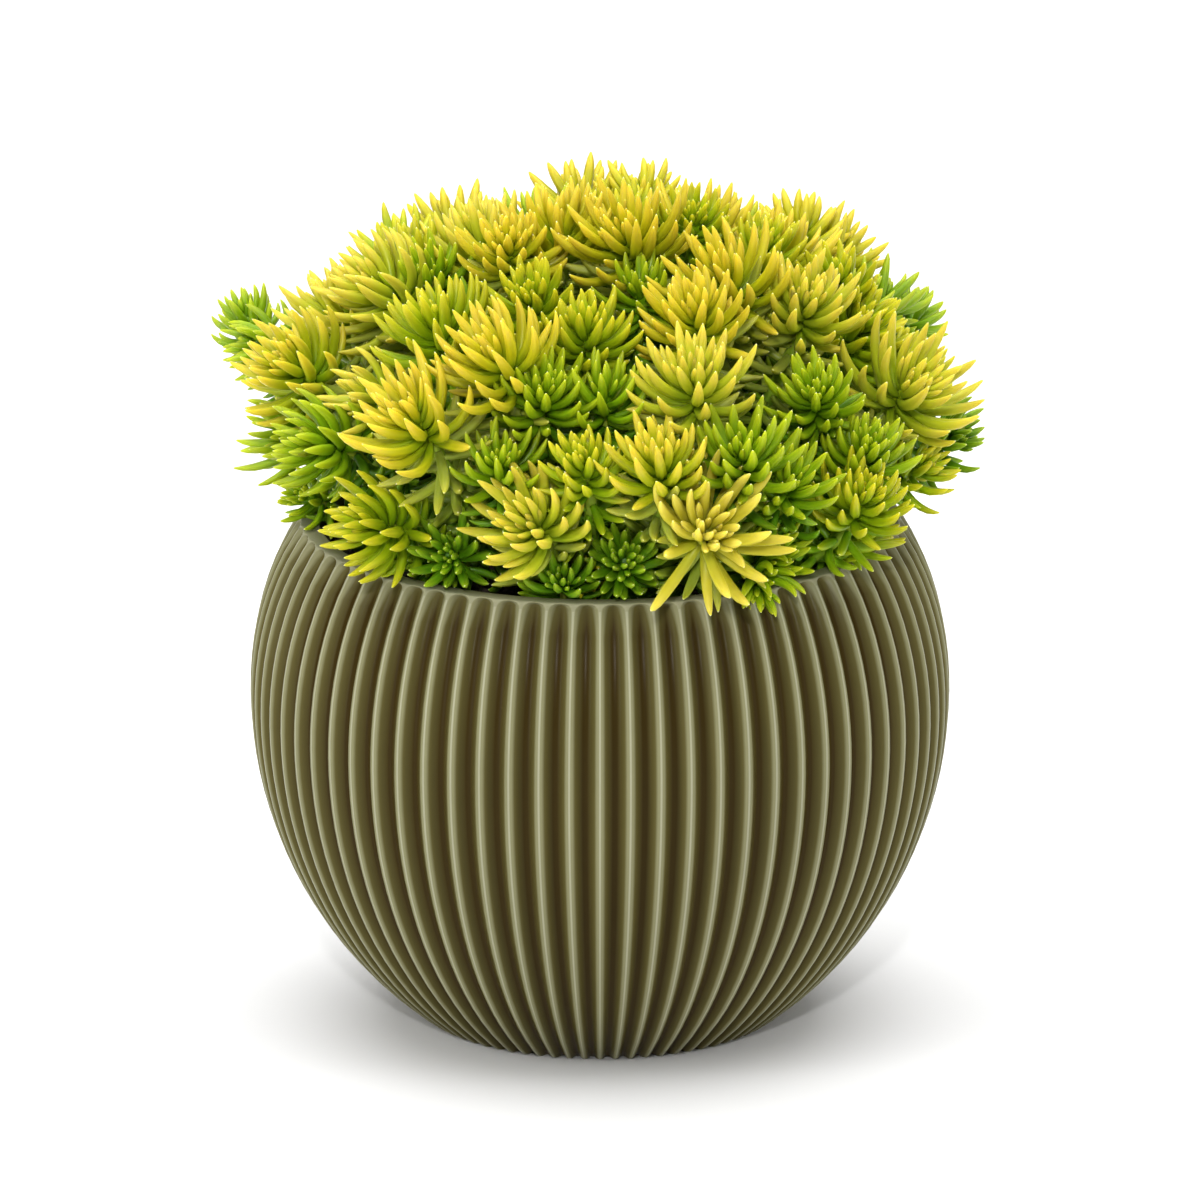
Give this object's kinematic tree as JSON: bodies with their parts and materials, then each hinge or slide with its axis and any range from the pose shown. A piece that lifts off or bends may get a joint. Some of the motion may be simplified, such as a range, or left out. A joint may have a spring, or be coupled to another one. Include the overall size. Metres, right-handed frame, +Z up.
{
  "type": "potted sedum",
  "caption": "Golden needle-leaved sedum growing as a dense dome of rosettes in a fluted globe pot filled with soil.",
  "frame": {"origin": "centre of the pot's underside, on the surface it stands on", "axes": "+Z up along the pot's axis; -Y points to the side that faces the viewer; +X to the viewer's right"},
  "size_m": [0.1671, 0.1599, 0.1848],
  "materials": {
    "pot": "satin moulded olive green, paler on the flute crests",
    "soil": "loose dark potting mix",
    "leaf_gold": "smooth fleshy leaf, green at its base and golden at its tip",
    "leaf_pale": "smooth fleshy leaf, pale yellow-green",
    "leaf_lime": "smooth fleshy leaf, lime green with a yellow tip",
    "leaf_green": "smooth fleshy leaf, bright green",
    "leaf_deep": "smooth fleshy leaf, deep green"
  },
  "bodies": {
    "root": {"pot": "pot", "soil": "soil", "stem_01": "leaf_gold", "stem_02": "leaf_gold", "stem_03": "leaf_gold", "stem_04": "leaf_gold", "stem_05": "leaf_gold", "stem_06": "leaf_lime", "stem_07": "leaf_lime", "stem_08": "leaf_green", "stem_09": "leaf_pale", "stem_10": "leaf_lime", "stem_11": "leaf_lime", "stem_12": "leaf_gold", "stem_13": "leaf_gold", "stem_14": "leaf_pale", "stem_15": "leaf_pale", "stem_16": "leaf_lime", "stem_17": "leaf_gold", "stem_18": "leaf_gold", "stem_19": "leaf_gold", "stem_20": "leaf_gold", "stem_21": "leaf_green", "stem_22": "leaf_green", "stem_23": "leaf_green", "stem_24": "leaf_gold", "stem_25": "leaf_lime", "stem_26": "leaf_green", "stem_27": "leaf_lime", "stem_28": "leaf_lime", "stem_29": "leaf_lime", "stem_30": "leaf_gold", "stem_31": "leaf_pale", "stem_32": "leaf_deep", "stem_33": "leaf_deep", "stem_34": "leaf_green", "stem_35": "leaf_green", "stem_36": "leaf_gold", "stem_37": "leaf_lime", "stem_38": "leaf_pale", "stem_39": "leaf_gold", "stem_40": "leaf_lime", "stem_41": "leaf_gold", "stem_42": "leaf_lime", "stem_43": "leaf_pale", "stem_44": "leaf_gold", "stem_45": "leaf_lime", "stem_46": "leaf_gold", "stem_47": "leaf_lime", "stem_48": "leaf_pale", "stem_49": "leaf_gold", "stem_50": "leaf_lime", "stem_51": "leaf_gold", "stem_52": "leaf_lime"}
  },
  "joints": []
}
